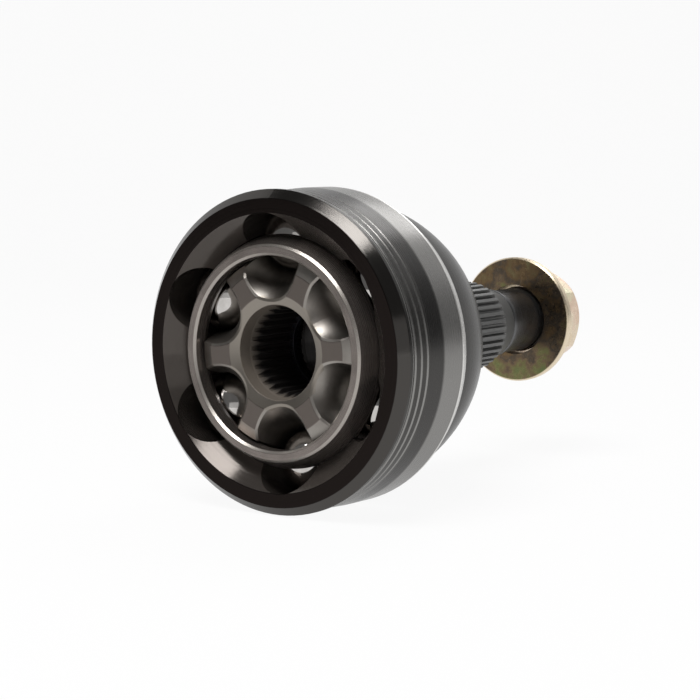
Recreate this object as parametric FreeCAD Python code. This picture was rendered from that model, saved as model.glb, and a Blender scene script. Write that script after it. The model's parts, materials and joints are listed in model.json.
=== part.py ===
import FreeCAD, Part
import os
from math import asin, cos, degrees, hypot, pi, radians, sin, sqrt, tan

# Outboard constant-velocity joint of a driveshaft: a six-ball joint with a splined stub, washer and hub nut.
# Millimetres. The origin is the joint centre, where the shaft axes cross at every joint angle.
# +X runs from the open mouth along the stub to the nut and +Z is up.
# The inner race tilts about the line midway between the first and the last ball.

# Half-shaft bore, from which the joint is sized outwards
shaft_spline_count = 30
shaft_spline_root_radius = 13.1
shaft_spline_depth = 1.05
shaft_tooth_root_share = 0.86
shaft_tooth_tip_share = 0.38
shaft_spline_lead_length = 4.0
pilot_clearance = 0.15
pilot_length = 5.5
countersink_radius = 16.3
countersink_depth = 1.2
race_web = 0.4
race_width = 29.0
race_face_radius = 22.8
race_tip_bevel = 1.2
race_edge_relief = 0.5
snap_groove_width = 1.8
snap_groove_depth = 1.0
snap_groove_inset = 3.6
snap_ring_play = 0.1
snap_ring_section = 2.2
snap_ring_gap_angle = 34.0

# Balls and their tracks
ball_count = 6
ball_diameter = 19.05
first_ball_angle = 25.0
track_offset = 2.8
track_clearance = 0.12
max_joint_angle = 45.0
track_runout_angle = 7.0
outer_track_entry_angle = 75.0
race_track_front_angle = 62.0
race_track_rear_angle = 52.0

# Cage
cage_outer_step = 2.5
cage_inner_step = 2.0
cage_rim_width = 6.8
cage_rim_wall = 2.75
cage_edge_chamfer = 0.7
window_axial_play = 0.3
window_side_play = 1.7
window_corner_radius = 3.5
sphere_clearance = 0.2

# Bell, measured from the mouth plane where it says depth
cage_recess = 0.4
bell_wall = 3.68
lip_width = 3.9
lip_chamfer_radial = 2.5
lip_chamfer_length = 2.7
mouth_bevel_angle = 45.0
boot_seat_start = 4.1
boot_seat_length = 8.7
boot_seat_depth = 0.3
boot_groove_count = 3
boot_groove_width = 0.8
boot_groove_depth = 0.3
land_blend_length = 6.3
barrel_length = 28.5
heel_taper_length = 3.5
heel_taper_drop = 1.6
heel_chamfer_length = 1.6
heel_chamfer_drop = 1.5
dome_drop = 5.5
dome_bulge = 0.9
dome_edge_chamfer = 0.8
back_rim_width = 4.5
back_recess_depth = 1.2
dome_setback = 0.2
bell_web = 9.3
hub_shoulder_radius = 27.0
hub_shoulder_width = 6.2
hub_shoulder_chamfer = 0.8
hub_relief_depth = 1.3

# Stub shaft
hub_spline_count = 36
hub_spline_radius = 13.8
hub_spline_depth = 1.15
hub_spline_chamfer = 1.3
hub_tooth_root_share = 0.72
hub_tooth_tip_share = 0.42
hub_neck_length = 3.0
hub_spline_length = 39.9
hub_runout_length = 8.5
hub_runout_ring_width = 1.0
hub_runout_ring_depth = 0.35
thread_diameter = 20.0
thread_pitch = 1.5
pitch_line_share = 0.325
shank_length = 15.3
thread_length = 20.5
thread_end_chamfer = 1.5
thread_running_clearance = 0.05
centre_hole_radius = 3.2
centre_hole_angle = 60.0

# Washer and hub nut
washer_radius = 20.0
washer_hole_play = 1.2
washer_thickness = 2.7
washer_edge_round = 0.5
nut_across_flats = 30.0
nut_height = 15.0
nut_turn = 30.0
nut_seat_radius = 14.55
nut_seat_chamfer_angle = 30.0
nut_end_radius = 14.0
nut_end_chamfer_angle = 60.0
nut_bore_chamfer = 0.9
nut_thread_lead = 1.5

# Overruns that keep cutting surfaces off the faces they cut
cut_overrun = 1.0
tooth_tip_margin = 0.01

# Sizes that follow from the driving ones
X_AXIS = FreeCAD.Vector(1, 0, 0)
Y_AXIS = FreeCAD.Vector(0, 1, 0)
CENTRE = FreeCAD.Vector(0, 0, 0)
ball_radius = ball_diameter / 2
track_tube_radius = ball_radius + track_clearance
race_half = race_width / 2
pilot_radius = shaft_spline_root_radius + pilot_clearance
race_track_floor = hypot(pilot_radius + race_web, race_half + track_offset)
track_path_radius = race_track_floor + track_tube_radius
ball_circle_radius = sqrt(track_path_radius**2 - track_offset**2)
cage_outer_radius = ball_circle_radius + cage_outer_step
cage_inner_radius = ball_circle_radius - cage_inner_step
race_radius = cage_inner_radius - sphere_clearance
cavity_radius = cage_outer_radius + sphere_clearance
window_half_width = ball_radius + window_axial_play
window_half_length = ball_radius + window_side_play
cage_half = window_half_width + cage_rim_width
cage_rim_radius = sqrt(cage_outer_radius**2 - cage_half**2)
cage_opening_radius = cage_rim_radius - cage_rim_wall
mouth_x = -(cage_half + cage_recess)
barrel_radius = track_path_radius + track_tube_radius + bell_wall
lip_outer_radius = barrel_radius - lip_chamfer_radial
lip_inner_radius = lip_outer_radius - lip_width
track_home_angle = degrees(asin(track_offset / track_path_radius))
track_end_angle = track_home_angle + max_joint_angle / 2 + track_runout_angle
barrel_end_x = mouth_x + barrel_length
dome_start_x = barrel_end_x + heel_taper_length + heel_chamfer_length
dome_start_radius = barrel_radius - heel_taper_drop - heel_chamfer_drop
dome_end_x = cavity_radius + dome_setback
dome_end_radius = dome_start_radius - dome_drop
hub_shoulder_x = cavity_radius + bell_web
hub_relief_radius = hub_shoulder_radius - hub_shoulder_width
hub_spline_root = hub_spline_radius - hub_spline_depth
hub_spline_start = hub_shoulder_x - hub_relief_depth + hub_neck_length
hub_spline_end = hub_spline_start + hub_spline_length
hub_runout_end = hub_spline_end + hub_runout_length
shank_radius = thread_diameter / 2
shank_start = hub_runout_end + 3 * hub_runout_ring_width
thread_start = shank_start + shank_length
thread_end = thread_start + thread_length
thread_pitch_radius = shank_radius - pitch_line_share * thread_pitch
nut_face_x = thread_start + nut_thread_lead
washer_x = nut_face_x - washer_thickness


def point(x, radius):
    return FreeCAD.Vector(x, 0, radius)


def line(a, b):
    return Part.LineSegment(point(*a), point(*b)).toShape()


def bulged(a, b, bulge):
    """An arc from a to b that stands out from their chord by the bulge."""
    length = hypot(b[0] - a[0], b[1] - a[1])
    middle_x = (a[0] + b[0]) / 2 - (b[1] - a[1]) / length * bulge
    middle_r = (a[1] + b[1]) / 2 + (b[0] - a[0]) / length * bulge
    return Part.Arc(point(*a), point(middle_x, middle_r), point(*b)).toShape()


def crowned(half_width, edge_radius, crown_radius):
    """An arc over the joint centre, from one edge of a band to the other."""
    edge = point(half_width, edge_radius)
    return Part.Arc(point(-half_width, edge_radius), point(0, crown_radius), edge).toShape()


def path(points):
    return [line(a, b) for a, b in zip(points, points[1:])]


def turned(edges):
    """Solid of revolution about X from a closed run of edges in the X-Z plane."""
    face = Part.Face(Part.Wire(edges))
    return face.revolve(CENTRE, X_AXIS, 360)


def turned_points(points):
    return turned(path(points + points[:1]))


def disc(start_x, end_x, radius):
    return Part.makeCylinder(radius, end_x - start_x, FreeCAD.Vector(start_x, 0, 0), X_AXIS)


def ball_angles():
    return [first_ball_angle + i * 360 / ball_count for i in range(ball_count)]


def around(shape, angle):
    """A copy of a shape drawn in the X-Z plane, carried round the axis to an angle measured from +Y."""
    copy = shape.copy()
    copy.rotate(CENTRE, X_AXIS, angle - 90)
    return copy


def track_point(centre_x, angle):
    return point(centre_x + track_path_radius * sin(radians(angle)), track_path_radius * cos(radians(angle)))


def track_tube(centre_x, start_angle, end_angle, tube_radius):
    """Round-bottomed ball track: a tube bent about a centre on the joint axis."""
    start = track_point(centre_x, start_angle)
    tangent = FreeCAD.Vector(cos(radians(start_angle)), 0, -sin(radians(start_angle)))
    circle = Part.Circle(start, tangent, tube_radius).toShape()
    face = Part.Face(Part.Wire([circle]))
    return face.revolve(FreeCAD.Vector(centre_x, 0, 0), Y_AXIS, end_angle - start_angle)


def spline_prism(count, root_radius, tip_radius, shares, start_x, end_x):
    """Toothed bar: each tooth takes the given shares of its pitch at root and tip."""
    root_share, tip_share = shares
    pitch = 2 * pi / count
    points = []
    for tooth in range(count):
        middle = tooth * pitch
        for radius, offset in (
            (root_radius, -root_share / 2),
            (tip_radius, -tip_share / 2),
            (tip_radius, tip_share / 2),
            (root_radius, root_share / 2),
        ):
            angle = middle + offset * pitch
            points.append(FreeCAD.Vector(start_x, radius * cos(angle), radius * sin(angle)))
    outline = Part.makePolygon(points + points[:1])
    return Part.Face(outline).extrude(FreeCAD.Vector(end_x - start_x, 0, 0))


def boot_seat_outline():
    """Shallow clamp seat behind the lip, with fine grooves that grip the boot."""
    seat_radius = barrel_radius - boot_seat_depth
    start_x = mouth_x + boot_seat_start
    end_x = start_x + boot_seat_length
    groove_pitch = boot_seat_length / boot_groove_count
    points = [(start_x, barrel_radius), (start_x, seat_radius)]
    for groove in range(boot_groove_count):
        middle_x = start_x + (groove + 0.5) * groove_pitch
        points.append((middle_x - boot_groove_width / 2, seat_radius))
        points.append((middle_x, seat_radius - boot_groove_depth))
        points.append((middle_x + boot_groove_width / 2, seat_radius))
    return points + [(end_x, seat_radius), (end_x + land_blend_length, barrel_radius)]


def bell_front_outline():
    return (
        [(mouth_x, 0), (mouth_x, lip_outer_radius), (mouth_x + lip_chamfer_length, barrel_radius)]
        + boot_seat_outline()
        + [
            (barrel_end_x, barrel_radius),
            (barrel_end_x + heel_taper_length, barrel_radius - heel_taper_drop),
            (dome_start_x, dome_start_radius),
        ]
    )


def bell_back_outline():
    """Dome edge, recessed back and the raised shoulder that the hub bearing seats on."""
    rim_radius = dome_end_radius - dome_edge_chamfer
    rim_x = dome_end_x + dome_edge_chamfer
    recess_radius = rim_radius - back_rim_width
    relief_x = hub_shoulder_x - hub_relief_depth
    return [
        (dome_end_x, dome_end_radius),
        (rim_x, rim_radius),
        (rim_x, recess_radius),
        (rim_x - back_recess_depth, recess_radius - back_recess_depth),
        (rim_x - back_recess_depth, hub_shoulder_radius + back_recess_depth),
        (rim_x, hub_shoulder_radius),
        (hub_shoulder_x - hub_shoulder_chamfer, hub_shoulder_radius),
        (hub_shoulder_x, hub_shoulder_radius - hub_shoulder_chamfer),
        (hub_shoulder_x, hub_relief_radius),
        (relief_x, hub_relief_radius - hub_relief_depth),
        (relief_x, hub_spline_root + hub_relief_depth),
        (relief_x + hub_relief_depth, hub_spline_root),
    ]


def stub_outline():
    """Spline core, tapered run-out with two fine rings, plain shank and thread at its pitch diameter."""
    ring_top = shank_radius + 2 * hub_runout_ring_depth
    ring = hub_runout_ring_width
    return [
        (hub_spline_end, hub_spline_root),
        (hub_runout_end, ring_top),
        (hub_runout_end + ring / 2, ring_top - hub_runout_ring_depth),
        (hub_runout_end + ring, ring_top),
        (hub_runout_end + 2 * ring, ring_top),
        (shank_start, shank_radius),
        (thread_start - (shank_radius - thread_pitch_radius), shank_radius),
        (thread_start, thread_pitch_radius),
        (thread_end - thread_end_chamfer, thread_pitch_radius),
        (thread_end, thread_pitch_radius - thread_end_chamfer),
        (thread_end, 0),
    ]


def bell_blank():
    front = bell_front_outline()
    back = bell_back_outline()
    stub = stub_outline()
    dome = bulged(front[-1], back[0], dome_bulge)
    return turned(path(front) + [dome] + path(back + stub) + [line(stub[-1], front[0])])


def hub_spline():
    """External spline with chamfered tooth ends."""
    start_x = hub_spline_start
    end_x = hub_spline_end
    crest = hub_spline_radius + tooth_tip_margin
    shares = (hub_tooth_root_share, hub_tooth_tip_share)
    teeth = spline_prism(hub_spline_count, hub_spline_root, hub_spline_radius, shares, start_x, end_x)
    envelope = turned_points([
        (start_x, 0),
        (start_x, hub_spline_radius - hub_spline_chamfer),
        (start_x + hub_spline_chamfer, crest),
        (end_x - hub_spline_chamfer, crest),
        (end_x, hub_spline_radius - hub_spline_chamfer),
        (end_x, 0),
    ])
    return teeth.common(envelope)


def mouth_bevel():
    """Cone that opens the mouth so that the shaft can swing."""
    slope = tan(radians(mouth_bevel_angle))
    outside_x = mouth_x - cut_overrun
    depth = lip_inner_radius / slope
    return turned_points([
        (outside_x, 0),
        (outside_x, lip_inner_radius),
        (mouth_x, lip_inner_radius),
        (mouth_x + depth, 0),
    ])


def centre_hole():
    """Lathe centre in the end of the stub."""
    depth = centre_hole_radius / tan(radians(centre_hole_angle / 2))
    return Part.makeCone(0, centre_hole_radius, depth, FreeCAD.Vector(thread_end - depth, 0, 0), X_AXIS)


def outer_race():
    """Bell and stub shaft, one forging, with the ball tracks ground into its spherical cavity."""
    body = bell_blank().fuse(hub_spline())
    cavity = Part.makeSphere(cavity_radius).fuse(mouth_bevel())
    tube = track_tube(-track_offset, -outer_track_entry_angle, track_end_angle, track_tube_radius)
    end_ball = Part.makeSphere(track_tube_radius, track_point(-track_offset, track_end_angle))
    track = tube.fuse(end_ball)
    tracks = [around(track, angle) for angle in ball_angles()]
    return body.cut([cavity, centre_hole()] + tracks)


def race_blank():
    """Ball with flat ends and bevelled land tips."""
    bevel_x = race_half - race_tip_bevel
    bevel_radius = sqrt(race_radius**2 - bevel_x**2)
    crown = crowned(bevel_x, bevel_radius, race_radius)
    start = [(-race_half, 0), (-race_half, race_face_radius), (-bevel_x, bevel_radius)]
    finish = [(bevel_x, bevel_radius), (race_half, race_face_radius), (race_half, 0), (-race_half, 0)]
    return turned(path(start) + [crown] + path(finish))


def race_bore():
    """Countersunk pilot, a cone that points the tooth ends, the splined length and the snap-ring groove."""
    root_radius = shaft_spline_root_radius
    tip_radius = root_radius - shaft_spline_depth
    pilot_end = -race_half + pilot_length
    front_x = -race_half - cut_overrun
    rear_x = race_half + cut_overrun
    lead_in = turned_points([
        (front_x, 0),
        (front_x, countersink_radius),
        (-race_half, countersink_radius),
        (-race_half + countersink_depth, pilot_radius),
        (pilot_end, pilot_radius),
        (pilot_end + shaft_spline_lead_length, tip_radius),
        (pilot_end + shaft_spline_lead_length, 0),
    ])
    rear = turned_points([
        (race_half - shaft_spline_depth, 0),
        (race_half - shaft_spline_depth, tip_radius),
        (race_half, root_radius),
        (rear_x, root_radius),
        (rear_x, 0),
    ])
    shares = (shaft_tooth_root_share, shaft_tooth_tip_share)
    spaces = spline_prism(shaft_spline_count, tip_radius, root_radius, shares, pilot_end, rear_x)
    core = disc(pilot_end, rear_x, tip_radius)
    groove_end = race_half - snap_groove_inset
    groove = disc(groove_end - snap_groove_width, groove_end, root_radius + snap_groove_depth)
    return [lead_in, rear, spaces, core, groove]


def track_edges(shape):
    """The edges where the ball tracks break out of a shape's other faces."""
    edges = [edge for face in shape.Faces if isinstance(face.Surface, Part.Toroid) for edge in face.Edges]
    return [edge for edge in edges if sum(edge.isSame(other) for other in edges) == 1]


def inner_race():
    tube = track_tube(track_offset, -race_track_front_angle, race_track_rear_angle, track_tube_radius)
    tracks = [around(tube, angle) for angle in ball_angles()]
    race = race_blank().cut(race_bore() + tracks)
    return race.makeChamfer(race_edge_relief, track_edges(race))


def snap_ring():
    """Open spring ring that rests in the groove of the inner race and holds the half-shaft."""
    groove_end = race_half - snap_groove_inset
    outer = shaft_spline_root_radius + snap_groove_depth - snap_ring_play
    start_x = groove_end - snap_groove_width + snap_ring_play
    end_x = groove_end - snap_ring_play
    section = Part.Face(Part.makePolygon([
        point(start_x, outer),
        point(end_x, outer),
        point(end_x, outer - snap_ring_section),
        point(start_x, outer - snap_ring_section),
        point(start_x, outer),
    ]))
    ring = section.revolve(CENTRE, X_AXIS, 360 - snap_ring_gap_angle)
    ring.rotate(CENTRE, X_AXIS, snap_ring_gap_angle / 2)
    return ring


def cage_blank():
    """Spherical band, bored straight at both ends so that the inner race can be put in."""
    edge = cage_edge_chamfer
    outer_edge_x = cage_half - edge
    outer_edge_radius = sqrt(cage_outer_radius**2 - outer_edge_x**2)
    face_outer = outer_edge_radius - edge
    inner_x = sqrt(cage_inner_radius**2 - cage_opening_radius**2)
    crown = crowned(outer_edge_x, outer_edge_radius, cage_outer_radius)
    seat = crowned(-inner_x, cage_opening_radius, cage_inner_radius)
    right = [
        (outer_edge_x, outer_edge_radius),
        (cage_half, face_outer),
        (cage_half, cage_opening_radius + edge),
        (cage_half - edge, cage_opening_radius),
        (inner_x, cage_opening_radius),
    ]
    left = [(-x, radius) for x, radius in reversed(right)]
    return turned([crown] + path(right) + [seat] + path(left))


def cage_window():
    """Rounded opening for one ball, longer round the cage than along it."""
    width = 2 * window_half_width
    length = 2 * window_half_length
    block = Part.makeBox(width, length, cage_outer_radius)
    block.translate(FreeCAD.Vector(-width / 2, -length / 2, 0))
    upright = [edge for edge in block.Edges if abs(edge.tangentAt(edge.FirstParameter).z) > 0.5]
    window = block.makeFillet(window_corner_radius, upright)
    return window.translated(FreeCAD.Vector(0, 0, cage_opening_radius / 2))


def ball_cage():
    window = cage_window()
    return cage_blank().cut([around(window, angle) for angle in ball_angles()])


def ball(angle):
    return around(Part.makeSphere(ball_radius, point(0, ball_circle_radius)), angle)


def hub_washer():
    """Thick plain washer with rounded rims."""
    hole = shank_radius + washer_hole_play
    edge = washer_edge_round
    end_x = washer_x + washer_thickness
    return turned_points([
        (washer_x, hole),
        (washer_x, washer_radius - edge),
        (washer_x + edge, washer_radius),
        (end_x - edge, washer_radius),
        (end_x, washer_radius - edge),
        (end_x, hole),
    ])


def nut_blank():
    """Hexagon with its corners turned off, more deeply at the outer end."""
    corner_radius = nut_across_flats / sqrt(3)
    points = []
    for corner in range(6):
        angle = radians(nut_turn + 60 * corner)
        points.append(FreeCAD.Vector(nut_face_x, corner_radius * cos(angle), corner_radius * sin(angle)))
    hexagon = Part.Face(Part.makePolygon(points + points[:1])).extrude(X_AXIS * nut_height)
    seat_fall = (corner_radius - nut_seat_radius) * tan(radians(nut_seat_chamfer_angle))
    end_fall = (corner_radius - nut_end_radius) * tan(radians(nut_end_chamfer_angle))
    end_x = nut_face_x + nut_height
    envelope = turned_points([
        (nut_face_x, 0),
        (nut_face_x, nut_seat_radius),
        (nut_face_x + seat_fall, corner_radius),
        (end_x - end_fall, corner_radius),
        (end_x, nut_end_radius),
        (end_x, 0),
    ])
    return hexagon.common(envelope)


def hub_nut():
    bore_radius = thread_pitch_radius + thread_running_clearance
    wide = bore_radius + nut_bore_chamfer
    end_x = nut_face_x + nut_height
    bore = turned_points([
        (nut_face_x, 0),
        (nut_face_x, wide),
        (nut_face_x + nut_bore_chamfer, bore_radius),
        (end_x - nut_bore_chamfer, bore_radius),
        (end_x, wide),
        (end_x, 0),
    ])
    return nut_blank().cut(bore)


def parts():
    solids = {
        "outer_race": outer_race(),
        "inner_race": inner_race(),
        "ball_cage": ball_cage(),
        "snap_ring": snap_ring(),
        "hub_washer": hub_washer(),
        "hub_nut": hub_nut(),
    }
    for number, angle in enumerate(ball_angles(), start=1):
        solids[f"ball_{number}"] = ball(angle)
    return solids


os.makedirs("parts", exist_ok=True)
for name, shape in parts().items():
    shape.exportStep(f"parts/{name}.step")
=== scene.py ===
import json
import math
from collections import namedtuple
from functools import cached_property

import bpy
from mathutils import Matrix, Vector


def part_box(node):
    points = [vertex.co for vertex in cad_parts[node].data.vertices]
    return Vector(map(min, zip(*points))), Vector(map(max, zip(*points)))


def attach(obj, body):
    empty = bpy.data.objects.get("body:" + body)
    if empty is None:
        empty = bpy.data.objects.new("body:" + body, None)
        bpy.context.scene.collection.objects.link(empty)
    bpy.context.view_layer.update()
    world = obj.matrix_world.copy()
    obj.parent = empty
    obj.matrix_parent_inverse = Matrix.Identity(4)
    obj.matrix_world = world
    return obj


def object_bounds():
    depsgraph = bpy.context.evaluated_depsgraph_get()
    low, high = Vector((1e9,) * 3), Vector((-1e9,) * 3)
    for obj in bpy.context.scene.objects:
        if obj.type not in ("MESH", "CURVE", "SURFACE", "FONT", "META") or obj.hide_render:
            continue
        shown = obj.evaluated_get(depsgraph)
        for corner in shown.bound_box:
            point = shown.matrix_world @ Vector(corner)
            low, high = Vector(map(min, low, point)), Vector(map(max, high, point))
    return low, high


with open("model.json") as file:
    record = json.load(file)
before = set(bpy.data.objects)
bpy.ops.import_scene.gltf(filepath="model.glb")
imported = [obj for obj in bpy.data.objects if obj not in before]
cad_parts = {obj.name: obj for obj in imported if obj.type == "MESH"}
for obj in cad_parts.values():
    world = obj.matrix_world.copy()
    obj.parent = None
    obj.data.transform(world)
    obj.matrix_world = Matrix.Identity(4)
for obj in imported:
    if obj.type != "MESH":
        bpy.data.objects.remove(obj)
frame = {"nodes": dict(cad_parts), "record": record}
cad_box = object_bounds()

MM = 0.001

# The camera looks at the joint's mouth from its left, a little from above. Angles are in degrees,
# and lens and sensor in millimetres.
CAMERA_AZIMUTH = 306
CAMERA_DIP = 6.12
CAMERA_DISTANCE = 566.6 * MM
CAMERA_ASIDE = 22.1 * MM
CAMERA_RAISED = 1.1 * MM
CAMERA_NEAR = 10 * MM
CAMERA_FAR = 50
LENS = 106.57
SENSOR = 36

MOUNTS = {mount["name"]: mount for mount in frame["record"]["mounts"]}


def mount_span(name):
    """Where a mount starts and ends along the joint's axis."""
    middle = MOUNTS[name]["pos_m"][0]
    half = MOUNTS[name]["dims"]["length_mm"] * MM / 2
    return middle - half, middle + half


def mount_radius(name):
    return MOUNTS[name]["dims"]["r_mm"] * MM


# ---------------------------------------------------------------- node helpers

EDGE_ROUNDING = 0.2 * MM
EDGE_SAMPLES = 6

# How much closer the rings lie on an end face than on a barrel.
RING_SLANT = 1.618
RING_DETAIL = 3.0

# The part of a noise's values that a finish spreads over its own range.
GRAIN_VALUES = (0.3, 0.7)
CLOUD_VALUES = (0.35, 0.72)


def rgb(red, green, blue):
    return (red, green, blue, 1.0)


class Shader:
    """A node material under construction, with short calls for the nodes that the finishes share."""

    def __init__(self, name):
        self.material = bpy.data.materials.new(name)
        self.material.use_nodes = True
        self.tree = self.material.node_tree
        self.surface = self.tree.nodes["Principled BSDF"]

    def node(self, kind, **settings):
        made = self.tree.nodes.new(kind)
        for name, value in settings.items():
            setattr(made, name, value)
        return made

    def feed(self, socket, value):
        """Gives a socket a constant, or links another socket to it."""
        if isinstance(value, bpy.types.NodeSocket):
            self.tree.links.new(value, socket)
        else:
            socket.default_value = value

    def feed_in_order(self, node, *values):
        for socket, value in zip(node.inputs, values):
            self.feed(socket, value)

    def math(self, operation, *values):
        made = self.node("ShaderNodeMath", operation=operation)
        self.feed_in_order(made, *values)
        return made.outputs[0]

    @cached_property
    def place(self):
        return self.node("ShaderNodeTexCoord").outputs["Object"]

    @cached_property
    def axes(self):
        """The place along the joint's axis, sideways from it and above it."""
        made = self.node("ShaderNodeSeparateXYZ")
        self.feed(made.inputs[0], self.place)
        return made.outputs[0], made.outputs[1], made.outputs[2]

    @cached_property
    def along(self):
        return self.axes[0]

    @cached_property
    def height(self):
        return self.axes[2]

    @cached_property
    def radius(self):
        """Distance from the joint's axis."""
        sideways_squared = self.math("MULTIPLY", self.axes[1], self.axes[1])
        height_squared = self.math("MULTIPLY", self.height, self.height)
        return self.math("SQRT", self.math("ADD", sideways_squared, height_squared))

    def spread(self, value, low, high, new_low=0.0, new_high=1.0):
        """Runs from new_low to new_high while value runs from low to high, and stays level beyond."""
        made = self.node("ShaderNodeMapRange")
        self.feed_in_order(made, value, low, high, new_low, new_high)
        return made.outputs[0]

    def below(self, value, low, high):
        """1 while value is under low, falling to 0 at high."""
        return self.spread(value, low, high, 1.0, 0.0)

    def between(self, value, low, high, soft):
        """1 where value lies from low to high, turning to 0 over soft on either side of both."""
        rise = self.spread(value, low - soft, low + soft)
        fall = self.below(value, high - soft, high + soft)
        return self.math("MULTIPLY", rise, fall)

    def noise(self, scale, detail=4.0, roughness=0.55):
        made = self.node("ShaderNodeTexNoise")
        self.feed(made.inputs["Vector"], self.place)
        self.feed(made.inputs["Scale"], scale)
        self.feed(made.inputs["Detail"], detail)
        self.feed(made.inputs["Roughness"], roughness)
        return made.outputs[0]

    def rings(self, pitch):
        """Turning marks: fine rings round the joint's axis, on barrels and on end faces alike."""
        line = self.math("ADD", self.along, self.math("MULTIPLY", self.radius, RING_SLANT))
        made = self.node("ShaderNodeTexNoise", noise_dimensions="1D")
        self.feed(made.inputs["W"], self.math("DIVIDE", line, pitch))
        self.feed(made.inputs["Scale"], 1.0)
        self.feed(made.inputs["Detail"], RING_DETAIL)
        return made.outputs[0]

    def blend(self, share, first, second):
        made = self.node("ShaderNodeMix", data_type="RGBA")
        self.feed(made.inputs["Factor"], share)
        self.feed(made.inputs["A"], first)
        self.feed(made.inputs["B"], second)
        return made.outputs["Result"]

    def ramp(self, share, stops):
        made = self.node("ShaderNodeValToRGB")
        self.feed(made.inputs["Fac"], share)
        elements = made.color_ramp.elements
        while len(elements) < len(stops):
            elements.new(0.5)
        for element, (position, colour) in zip(elements, stops):
            element.position = position
            element.color = colour
        return made.outputs["Color"]

    def colour(self, value):
        self.feed(self.surface.inputs["Base Color"], value)

    def grazing_tint(self, value):
        self.feed(self.surface.inputs["Specular Tint"], value)

    def roughness(self, value):
        self.feed(self.surface.inputs["Roughness"], value)

    def metallic(self, value):
        self.feed(self.surface.inputs["Metallic"], value)

    def bump(self, height, depth, strength=1.0):
        """Fine relief, over edges that are rounded a little so that they catch the light."""
        edge = self.node("ShaderNodeBevel", samples=EDGE_SAMPLES)
        self.feed(edge.inputs["Radius"], EDGE_ROUNDING)
        made = self.node("ShaderNodeBump")
        self.feed(made.inputs["Normal"], edge.outputs["Normal"])
        self.feed(made.inputs["Height"], height)
        self.feed(made.inputs["Distance"], depth)
        self.feed(made.inputs["Strength"], strength)
        self.feed(self.surface.inputs["Normal"], made.outputs["Normal"])


# ---------------------------------------------------------------- outer race

BLACK_OXIDE = rgb(0.052, 0.050, 0.048)
WORN_OXIDE = rgb(0.074, 0.072, 0.068)
LIP_FACE = rgb(0.014, 0.011, 0.010)
LIP_BEVEL = rgb(0.068, 0.064, 0.060)
GREY_BAND = rgb(0.235, 0.230, 0.222)
DARK_BAND = rgb(0.066, 0.064, 0.062)
PALE_SEAT_LINE = rgb(0.260, 0.255, 0.246)
# A bare edge, painted brighter and wider than bare steel as a painted highlight.
BARE_EDGE_AND_HIGHLIGHT = rgb(0.70, 0.69, 0.67)
BORE_FILM = rgb(0.072, 0.062, 0.055)
# Painted shade: the bore's film is painted near black deeper in the cavity.
DEEP_BORE_PAINTED_SHADE = rgb(0.012, 0.010, 0.009)
STUB_STEEL = rgb(0.150, 0.150, 0.147)
SHANK_STEEL = rgb(0.135, 0.135, 0.138)
GRAZING_TINT = rgb(0.76, 0.76, 0.76)

# Places along the joint's axis.
MOUTH_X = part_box("outer_race")[0].x
LIP_END = MOUTH_X + 2.7 * MM
SEAT_START, SEAT_END = mount_span("boot_seat")
DARK_BAND_END = SEAT_END + 6.0 * MM
EDGE_START = MOUTH_X + 27.8 * MM
EDGE_END = MOUTH_X + 32.1 * MM
SHOULDER_X = MOUNTS["hub_shoulder"]["pos_m"][0]
RUNOUT_END = mount_span("hub_spline")[1] + 8.5 * MM

# Stretches of the axis over which one look gives way to the next.
LIP_FACE_FADE = (MOUTH_X + 0.05 * MM, MOUTH_X + 0.15 * MM)
LIP_SHINE_FADE = (LIP_END, LIP_END + 0.5 * MM)
# Over the next stretch, behind the joint's centre, the bore's film turns to painted shade.
DEPTH_FADE = (2 * MM, 16 * MM)
STUB_FADE = (SHOULDER_X, SHOULDER_X + 0.5 * MM)
SHANK_FADE = (RUNOUT_END - 0.5 * MM, RUNOUT_END)

# Bands of the bell from its lip backwards: start, end, softness of both borders, and colour.
BELL_BANDS = (
    (MOUTH_X + 0.2 * MM, LIP_END, 0.1 * MM, LIP_BEVEL),
    (SEAT_END, DARK_BAND_END, 0.6 * MM, DARK_BAND),
    (DARK_BAND_END, EDGE_START, 0.5 * MM, GREY_BAND),
    # The bare edge, widened and brightened into a painted highlight along it.
    (EDGE_START, EDGE_END, 0.2 * MM, BARE_EDGE_AND_HIGHLIGHT),
)

# Lighter lines along the boot seat.
SEAT_GROOVES = 3
SEAT_EDGE = (SEAT_START - 0.2 * MM, SEAT_START + 0.1 * MM)
SEAT_GROOVE_HALF = 0.45 * MM
SEAT_LINE_SOFTNESS = 0.1 * MM

# A skin just outside the bell's inner surfaces: its radius up to where the bore narrows, and the
# smaller one at the cavity's end.
BORE_NARROWS = SHOULDER_X - 31.5 * MM
BORE_END = SHOULDER_X - 9.5 * MM
BORE_END_FADE = (BORE_END - 1 * MM, BORE_END)
BORE_RADIUS = 41.8 * MM
BORE_END_RADIUS = 31 * MM
BORE_SOFTNESS = 0.1 * MM

# Roughness of the turned steel, and what mottling and each region add to it.
TURNED_PITCH = 0.25 * MM
TURNED_DEPTH = 0.010 * MM
TURNED_ROUGHNESS = (0.22, 0.32)
MOTTLE_SCALE = 90.0
MOTTLE_VALUES = (0.35, 0.7)
MOTTLE_ROUGHNESS = (-0.03, 0.04)
LIP_SHINE = -0.15
BORE_SHINE = -0.12
STUB_GRAIN = 0.16
SHANK_GRAIN = 0.02

# How far the film in the bore and on the stub takes the look away from bare metal.
FILM_SHARE = 0.45
SHANK_FILM_SHARE = 0.1


def inside_of_bell(s):
    """1 on the mouth's cone, in the ball tracks and in the cavity, and 0 on the lip's face and outside."""
    skin = s.spread(s.along, BORE_NARROWS, BORE_END, BORE_RADIUS, BORE_END_RADIUS)
    within = s.spread(s.math("SUBTRACT", skin, s.radius), -BORE_SOFTNESS, BORE_SOFTNESS)
    past_face = s.spread(s.along, *LIP_FACE_FADE)
    before_end = s.below(s.along, *BORE_END_FADE)
    return s.math("MULTIPLY", within, s.math("MULTIPLY", past_face, before_end))


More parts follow.
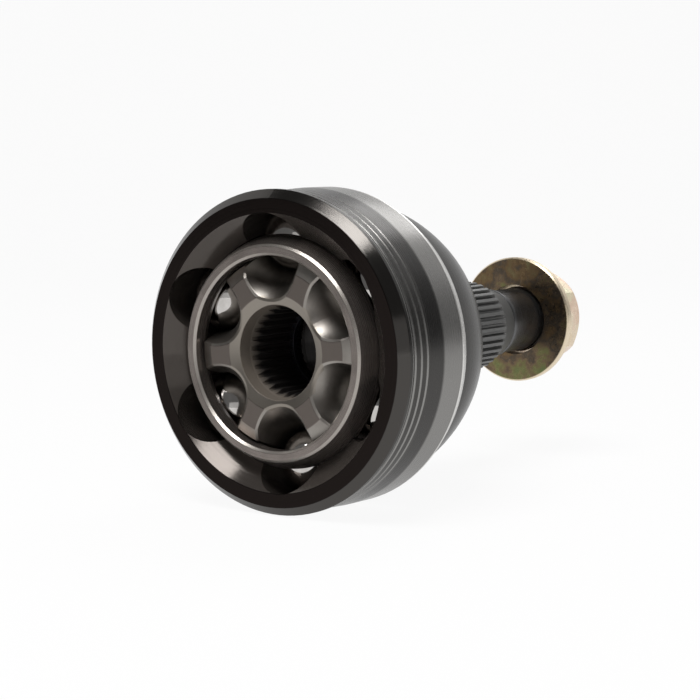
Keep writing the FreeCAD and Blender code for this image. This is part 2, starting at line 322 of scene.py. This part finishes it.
def seat_lines(s):
    """1 along the lighter lines of the boot seat: its front edge and each of its grooves."""
    pitch = (SEAT_END - SEAT_START) / SEAT_GROOVES
    lines = s.between(s.along, *SEAT_EDGE, SEAT_LINE_SOFTNESS)
    for groove in range(SEAT_GROOVES):
        middle = SEAT_START + (groove + 0.5) * pitch
        sides = (middle - SEAT_GROOVE_HALF, middle + SEAT_GROOVE_HALF)
        lines = s.math("MAXIMUM", lines, s.between(s.along, *sides, SEAT_LINE_SOFTNESS))
    return lines


def bell_colour(s, mottle, bore):
    """Mottled black oxide outside, with its bands, lighter seat lines and a bare edge widened into a painted
    highlight, and a film in the bore with painted shade deeper in.
    """
    colour = s.blend(s.spread(mottle, *MOTTLE_VALUES), BLACK_OXIDE, WORN_OXIDE)
    colour = s.blend(s.below(s.along, *LIP_FACE_FADE), colour, LIP_FACE)
    for start, end, softness, band in BELL_BANDS:
        colour = s.blend(s.between(s.along, start, end, softness), colour, band)
    colour = s.blend(seat_lines(s), colour, PALE_SEAT_LINE)
    # Painted shade: deeper in the cavity the film is painted near black.
    film = s.blend(s.spread(s.along, *DEPTH_FADE), BORE_FILM, DEEP_BORE_PAINTED_SHADE)
    return s.blend(bore, colour, film)


def outer_race_finish():
    """Black oxide over turned steel, in bands along the bell, and a greyer stub, dull up to its shank."""
    s = Shader("oxide_black_steel")
    s.grazing_tint(GRAZING_TINT)
    rings = s.rings(TURNED_PITCH)
    mottle = s.noise(MOTTLE_SCALE)
    bore = inside_of_bell(s)
    stub = s.spread(s.along, *STUB_FADE)
    shank = s.spread(s.along, *SHANK_FADE)
    grooved = s.math("SUBTRACT", stub, shank)

    colour = s.blend(stub, bell_colour(s, mottle, bore), STUB_STEEL)
    s.colour(s.blend(shank, colour, SHANK_STEEL))

    film = s.math("MULTIPLY", s.math("MAXIMUM", bore, grooved), FILM_SHARE)
    film = s.math("ADD", film, s.math("MULTIPLY", shank, SHANK_FILM_SHARE))
    s.metallic(s.math("SUBTRACT", 1.0, film))

    turned = s.spread(rings, *GRAIN_VALUES, *TURNED_ROUGHNESS)
    lip_shine = s.spread(s.along, *LIP_SHINE_FADE, LIP_SHINE, 0.0)
    shine = s.math("MINIMUM", lip_shine, s.math("MULTIPLY", bore, BORE_SHINE))
    roughness = s.math("ADD", turned, shine)
    roughness = s.math("ADD", roughness, s.math("MULTIPLY", grooved, STUB_GRAIN))
    roughness = s.math("ADD", roughness, s.math("MULTIPLY", shank, SHANK_GRAIN))
    s.roughness(s.math("ADD", roughness, s.spread(mottle, *GRAIN_VALUES, *MOTTLE_ROUGHNESS)))
    s.bump(rings, TURNED_DEPTH)
    return s.material


# ---------------------------------------------------------------- cage and snap ring

CAGE_STEEL = rgb(0.215, 0.188, 0.172)
CAGE_FILM = rgb(0.155, 0.135, 0.123)
# Painted highlight on the rims of both end faces.
CAGE_RIM_PAINTED_HIGHLIGHT = rgb(0.38, 0.35, 0.32)
CAGE_ROUGHNESS = (0.23, 0.35)
SPRING_STEEL = rgb(0.06, 0.06, 0.07)
SPRING_FILM = rgb(0.03, 0.03, 0.035)
SPRING_ROUGHNESS = (0.30, 0.42)
SPRING_PITCH = 0.3 * MM
SATIN_METALLIC = 0.85
CLOUD_SCALE = 140.0
GROUND_PITCH = 0.2 * MM
GROUND_DEPTH = 0.006 * MM

# The cage's bevelled edges, where a highlight is painted, as distances along the axis from the joint's
# centre.
CAGE_FACE_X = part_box("ball_cage")[1].x
CAGE_EDGES = (CAGE_FACE_X - 0.7 * MM, CAGE_FACE_X - 0.05 * MM)
CAGE_EDGE_SOFTNESS = 0.05 * MM


def satin_steel(s, steel, film, roughness, pitch):
    """Ground steel with fine rings from the wheel and a faint cloudy film of oil. Returns its colour."""
    rings = s.rings(pitch)
    s.metallic(SATIN_METALLIC)
    s.roughness(s.spread(rings, *GRAIN_VALUES, *roughness))
    s.bump(rings, GROUND_DEPTH)
    return s.blend(s.spread(s.noise(CLOUD_SCALE), *CLOUD_VALUES), steel, film)


def cage_finish():
    """Satin steel, with a painted highlight in a brighter colour on the bevels of both end faces."""
    s = Shader("ground_steel_cage")
    colour = satin_steel(s, CAGE_STEEL, CAGE_FILM, CAGE_ROUGHNESS, GROUND_PITCH)
    edges = s.between(s.math("ABSOLUTE", s.along), *CAGE_EDGES, CAGE_EDGE_SOFTNESS)
    # Painted highlight: the bevels are painted brighter so that the rims shine all round.
    s.colour(s.blend(edges, colour, CAGE_RIM_PAINTED_HIGHLIGHT))
    return s.material


def snap_ring_finish():
    """Satin spring steel, blued."""
    s = Shader("spring_steel_blued")
    s.colour(satin_steel(s, SPRING_STEEL, SPRING_FILM, SPRING_ROUGHNESS, SPRING_PITCH))
    return s.material


# ---------------------------------------------------------------- inner race

PILOT_STEEL = rgb(0.17, 0.145, 0.12)
# Painted shade: the broached spline deep in the bore is painted near black.
BROACHED_SPLINE_PAINTED_SHADE = rgb(0.018, 0.016, 0.015)
LAND_STEEL = rgb(0.145, 0.125, 0.112)
TRACK_STEEL = rgb(0.32, 0.30, 0.275)
COUNTERSINK_STEEL = rgb(0.26, 0.235, 0.205)
LAND_SHARE = 0.5

# Stretches along the axis, from the race's face inwards, over which one look gives way to the next.
RACE_FACE_X = MOUNTS["half_shaft_pilot"]["pos_m"][0] - 3.35 * MM
RACE_FACE_FADE = (RACE_FACE_X + 0.03 * MM, RACE_FACE_X + 0.1 * MM)
SINK_DEPTH_FADE = (RACE_FACE_X + 1.2 * MM, RACE_FACE_X + 1.3 * MM)
PILOT_END = mount_span("half_shaft_pilot")[1]
PILOT_FADE = (PILOT_END, PILOT_END + 3.5 * MM)

# The same for distances from the axis, from the bore's wall outwards.
BORE_WALL = mount_radius("half_shaft_pilot")
BORE_WALL_FADE = (BORE_WALL + 0.05 * MM, BORE_WALL + 0.15 * MM)
SINK_WIDTH_FADE = (BORE_WALL + 3.05 * MM, BORE_WALL + 3.25 * MM)

RACE_ROUGHNESS = (0.33, 0.44)
SPLINE_GRAIN = 0.15
SPLINE_FILM_SHARE = 0.75


def inner_race_finish():
    """Ground lands and tracks, a bright countersink and pilot, and painted shade, near black, in the broached
    spline deeper in the bore, with a duller film there.
    """
    s = Shader("ground_steel_race")
    rings = s.rings(GROUND_PITCH)
    clouds = s.spread(s.noise(CLOUD_SCALE), *CLOUD_VALUES, 0.0, LAND_SHARE)
    face = s.below(s.along, *RACE_FACE_FADE)
    inside = s.below(s.radius, *BORE_WALL_FADE)
    before_sink_end = s.below(s.along, *SINK_DEPTH_FADE)
    sunk = s.math("MULTIPLY", before_sink_end, s.below(s.radius, *SINK_WIDTH_FADE))
    # Painted shade: past the pilot the bore turns near black.
    bore_steel_and_shade = s.blend(s.spread(s.along, *PILOT_FADE), PILOT_STEEL, BROACHED_SPLINE_PAINTED_SHADE)

    colour = s.blend(clouds, TRACK_STEEL, LAND_STEEL)
    colour = s.blend(sunk, colour, COUNTERSINK_STEEL)
    colour = s.blend(face, colour, LAND_STEEL)
    s.colour(s.blend(inside, colour, bore_steel_and_shade))
    s.metallic(s.math("SUBTRACT", 1.0, s.math("MULTIPLY", inside, SPLINE_FILM_SHARE)))
    polish = s.spread(rings, *GRAIN_VALUES, *RACE_ROUGHNESS)
    s.roughness(s.math("ADD", polish, s.math("MULTIPLY", inside, SPLINE_GRAIN)))
    s.bump(rings, GROUND_DEPTH)
    return s.material


# ---------------------------------------------------------------- balls

BALL_STEEL = rgb(0.58, 0.56, 0.54)
BALL_HAZE = rgb(0.48, 0.46, 0.44)
BALL_HAZE_SCALE = 260.0
BALL_HAZE_VALUES = (0.4, 0.7)
BALL_GRAIN_VALUES = (0.3, 0.8)
BALL_ROUGHNESS = (0.06, 0.12)


def ball_finish():
    """Bearing steel, polished, with a very faint haze."""
    s = Shader("ball_steel_polished")
    haze = s.noise(BALL_HAZE_SCALE, detail=2.0)
    s.colour(s.blend(s.spread(haze, *BALL_HAZE_VALUES), BALL_STEEL, BALL_HAZE))
    s.metallic(1.0)
    s.roughness(s.spread(haze, *BALL_GRAIN_VALUES, *BALL_ROUGHNESS))
    return s.material


# ---------------------------------------------------------------- washer and nut

ZINC_ROUGHNESS = (0.24, 0.38)
ZINC_GRAIN_SCALE = 900.0
ZINC_GRAIN_DEPTH = 0.02 * MM
ZINC_FILM_SCALE = 110.0
ZINC_FILM_HEIGHT_SHIFT = 0.10
WASHER_FILM = (
    (0.30, rgb(0.150, 0.190, 0.080)),
    (0.40, rgb(0.200, 0.190, 0.085)),
    (0.47, rgb(0.190, 0.135, 0.085)),
    (0.54, rgb(0.100, 0.082, 0.064)),
    (0.62, rgb(0.180, 0.120, 0.065)),
    (0.72, rgb(0.200, 0.170, 0.090)),
)
NUT_FILM = (
    (0.32, rgb(0.74, 0.60, 0.41)),
    (0.46, rgb(0.78, 0.67, 0.52)),
    (0.56, rgb(0.72, 0.54, 0.42)),
    (0.68, rgb(0.68, 0.64, 0.45)),
)
# Painted reflection: the washer's rim is painted pale, as though it mirrored the pale backdrop.
WASHER_RIM_PAINTED_REFLECTION = rgb(0.74, 0.63, 0.47)
WASHER_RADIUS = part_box("hub_washer")[1].z
RIM_REFLECTION_FADE = (WASHER_RADIUS - 0.6 * MM, WASHER_RADIUS - 0.3 * MM)


def yellow_zinc_finish(name, stops):
    """Yellow passivated zinc: the film drifts between the stops' colours and is greener towards the bottom,
    and a painted reflection makes the washer's rim pale.
    """
    s = Shader(name)
    # The film's colour shifts with height and is greener towards the bottom.
    run = s.spread(s.height, -WASHER_RADIUS, WASHER_RADIUS, -ZINC_FILM_HEIGHT_SHIFT, ZINC_FILM_HEIGHT_SHIFT)
    drift = s.math("ADD", s.noise(ZINC_FILM_SCALE, detail=6.0, roughness=0.6), run)
    grain = s.noise(ZINC_GRAIN_SCALE, detail=3.0)
    # Painted reflection on the washer's rim.
    s.colour(s.blend(s.spread(s.radius, *RIM_REFLECTION_FADE), s.ramp(drift, stops), WASHER_RIM_PAINTED_REFLECTION))
    s.metallic(1.0)
    s.roughness(s.spread(grain, *GRAIN_VALUES, *ZINC_ROUGHNESS))
    s.bump(grain, ZINC_GRAIN_DEPTH, strength=0.5)
    return s.material


# ---------------------------------------------------------------- painting


def paint(node, material):
    """Gives a CAD node its finish, in place of the plain one it came with."""
    for slot in frame["nodes"][node].material_slots:
        slot.material = material


def paint_all():
    paint("outer_race", outer_race_finish())
    paint("ball_cage", cage_finish())
    paint("inner_race", inner_race_finish())
    paint("snap_ring", snap_ring_finish())
    paint("hub_washer", yellow_zinc_finish("yellow_zinc_washer", WASHER_FILM))
    paint("hub_nut", yellow_zinc_finish("yellow_zinc_nut", NUT_FILM))
    balls = ball_finish()
    for name in frame["nodes"]:
        if name.startswith("ball_") and name != "ball_cage":
            paint(name, balls)


# ---------------------------------------------------------------- meshes


def sheet_object(name, points, width, material):
    """A sheet through points that lie in rows, each of them width points long."""
    rows = len(points) // width
    faces = [
        (i * width + j, i * width + j + 1, (i + 1) * width + j + 1, (i + 1) * width + j)
        for i in range(rows - 1)
        for j in range(width - 1)
    ]
    mesh = bpy.data.meshes.new(name)
    mesh.from_pydata(points, [], faces)
    mesh.materials.append(material)
    sheet = bpy.data.objects.new(name, mesh)
    bpy.context.scene.collection.objects.link(sheet)
    return sheet


# ---------------------------------------------------------------- threads

THREAD_PITCH = 1.5 * MM
THREAD_STEPS = 64

# The ridge is at its full height this far from either end.
THREAD_LEAD = 0.9 * MM

# Points across the ridge, as shares of half a pitch: its foot and its crest, on either side.
THREAD_FOOT = 0.95
THREAD_CREST = 0.12
THREAD_PROFILE = (-THREAD_FOOT, -THREAD_CREST, THREAD_CREST, THREAD_FOOT)

THREAD_START, THREAD_END = mount_span("hub_thread")
STUB_THREAD_CREST = mount_radius("hub_thread")
STUB_THREAD_ROOT = STUB_THREAD_CREST - 0.55 * MM
NUT_THREAD_ROOT = STUB_THREAD_CREST - 0.42 * MM
NUT_THREAD_CREST = STUB_THREAD_CREST - 0.81 * MM
NUT_BORE_CHAMFER = 0.9 * MM

# start and end are places along the axis, root and crest are radii, and phase is an angle.
Thread = namedtuple("Thread", "start end root crest phase")


def thread_point(thread, turn, across):
    """A point of a thread's ridge, in turns from its start, and from -1 to 1 across the ridge."""
    middle = thread.start + turn * THREAD_PITCH
    along = middle + across * THREAD_PITCH / 2
    room = min(along - thread.start, thread.end - along)
    rise = 0.0
    if abs(across) <= THREAD_CREST:
        rise = min(max(room / THREAD_LEAD, 0.0), 1.0)
    radius = thread.root + (thread.crest - thread.root) * rise
    angle = math.tau * (middle - THREAD_START) / THREAD_PITCH + thread.phase
    along = min(max(along, thread.start), thread.end)
    return Vector((along, radius * math.cos(angle), radius * math.sin(angle)))


def thread_ridge(name, body, thread):
    """A screw thread: one long ridge wound round the joint's axis, from half a pitch inside its start."""
    turns = (thread.end - thread.start) / THREAD_PITCH - 1
    steps = int(turns * THREAD_STEPS)
    points = [
        thread_point(thread, 0.5 + turns * i / steps, across)
        for i in range(steps + 1)
        for across in THREAD_PROFILE
    ]
    finish = frame["nodes"][body].material_slots[0].material
    ridge = sheet_object(name, points, len(THREAD_PROFILE), finish)
    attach(ridge, body)


def threads():
    stub_thread = Thread(THREAD_START, THREAD_END, STUB_THREAD_ROOT, STUB_THREAD_CREST, 0.0)
    thread_ridge("hub_thread_ridge", "outer_race", stub_thread)
    low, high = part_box("hub_nut")
    start = low.x + NUT_BORE_CHAMFER
    end = high.x - NUT_BORE_CHAMFER
    nut_thread = Thread(start, end, NUT_THREAD_ROOT, NUT_THREAD_CREST, math.pi)
    thread_ridge("nut_thread_ridge", "hub_nut", nut_thread)


# ---------------------------------------------------------------- studio

FLOOR_REACH = 2.6
FLOOR_PALE = rgb(0.9, 0.9, 0.9)
FLOOR_ROUGHNESS = 0.9
FLOOR_SHADOW_SHARE = 0.07
BACKDROP_START = 0.9
SWEEP = 0.35
SWEEP_STEPS = 12
AIR_WHITE = rgb(1.0, 1.0, 1.0)
AIR_STRENGTH = 0.15


def direction(azimuth, height):
    """The way from the object towards a place round it, from an azimuth and a height in degrees."""
    a = math.radians(azimuth)
    h = math.radians(height)
    return Vector((math.sin(a) * math.cos(h), -math.cos(a) * math.cos(h), math.sin(h)))


def studio_object(name, data, place, back):
    """A lamp or camera at a place, facing away from the direction back."""
    holder = bpy.data.objects.new(name, data)
    bpy.context.scene.collection.objects.link(holder)
    holder.location = place
    holder.rotation_euler = back.to_track_quat("Z", "Y").to_euler()
    return holder


def softbox(name, azimuth, height, distance, width, depth, strength):
    """A rectangular lamp that faces the joint's centre; strength is the brightness of its face."""
    lamp = bpy.data.lights.new(name, "AREA")
    lamp.shape = "RECTANGLE"
    lamp.size = width
    lamp.size_y = depth
    lamp.energy = strength * width * depth * math.pi
    way = direction(azimuth, height)
    studio_object(name, lamp, way * distance, way)


def studio_lamps():
    softbox("softbox_over", azimuth=281, height=64, distance=1.0, width=0.60, depth=0.42, strength=11.0)
    softbox("softbox_behind", azimuth=98, height=47, distance=1.0, width=0.40, depth=0.46, strength=3.2)
    softbox("softbox_front", azimuth=313, height=0, distance=1.3, width=1.30, depth=0.85, strength=0.45)


def studio_white():
    """Nearly white to camera, glossy and transmission rays, over a pale surface with a faint shadow."""
    s = Shader("studio_white")
    s.colour(FLOOR_PALE)
    s.roughness(FLOOR_ROUGHNESS)
    glow = s.node("ShaderNodeEmission")
    s.feed(glow.inputs["Strength"], 1.0)
    rays = s.node("ShaderNodeLightPath").outputs
    seen = s.math("MAXIMUM", rays["Is Camera Ray"], rays["Is Glossy Ray"])
    seen = s.math("MAXIMUM", seen, rays["Is Transmission Ray"])
    share = s.math("MULTIPLY", seen, 1.0 - FLOOR_SHADOW_SHARE)
    mixed = s.node("ShaderNodeMixShader")
    s.feed_in_order(mixed, share, s.surface.outputs[0], glow.outputs[0])
    s.feed(s.tree.nodes["Material Output"].inputs["Surface"], mixed.outputs[0])
    return s.material


def studio_sweep():
    """The pale floor under the joint, curving up into a backdrop behind it."""
    profile = [(-FLOOR_REACH, 0.0)]
    for i in range(SWEEP_STEPS + 1):
        turn = math.pi / 2 * i / SWEEP_STEPS
        profile.append((BACKDROP_START + SWEEP * math.sin(turn), SWEEP * (1 - math.cos(turn))))
    profile.append((BACKDROP_START + SWEEP, FLOOR_REACH))
    away = -direction(CAMERA_AZIMUTH, 0)
    side = Vector((-away.y, away.x, 0))
    floor_height = cad_box[0].z
    ends = (-FLOOR_REACH, FLOOR_REACH)
    points = [
        away * out + side * across + Vector((0, 0, floor_height + up))
        for out, up in profile
        for across in ends
    ]
    sheet = sheet_object("studio_sweep", points, len(ends), studio_white())
    for polygon in sheet.data.polygons:
        polygon.use_smooth = True


def studio_world():
    world = bpy.data.worlds.new("studio_air")
    world.use_nodes = True
    background = world.node_tree.nodes["Background"]
    background.inputs["Color"].default_value = AIR_WHITE
    background.inputs["Strength"].default_value = AIR_STRENGTH
    bpy.context.scene.world = world


def camera():
    """Stands off the mouth at the given angle, moved a little to the right to take in the stub."""
    data = bpy.data.cameras.new("camera")
    data.lens = LENS
    data.sensor_width = SENSOR
    data.clip_start = CAMERA_NEAR
    data.clip_end = CAMERA_FAR
    back = direction(CAMERA_AZIMUTH, CAMERA_DIP)
    right = direction(CAMERA_AZIMUTH + 90, 0)
    up = back.cross(right)
    mouth = Vector((MOUTH_X, 0, 0))
    place = mouth + back * CAMERA_DISTANCE + right * CAMERA_ASIDE + up * CAMERA_RAISED
    bpy.context.scene.camera = studio_object("camera", data, place, back)


paint_all()
threads()
studio_sweep()
studio_world()
studio_lamps()
camera()
bpy.context.scene.view_settings.view_transform = "Standard"
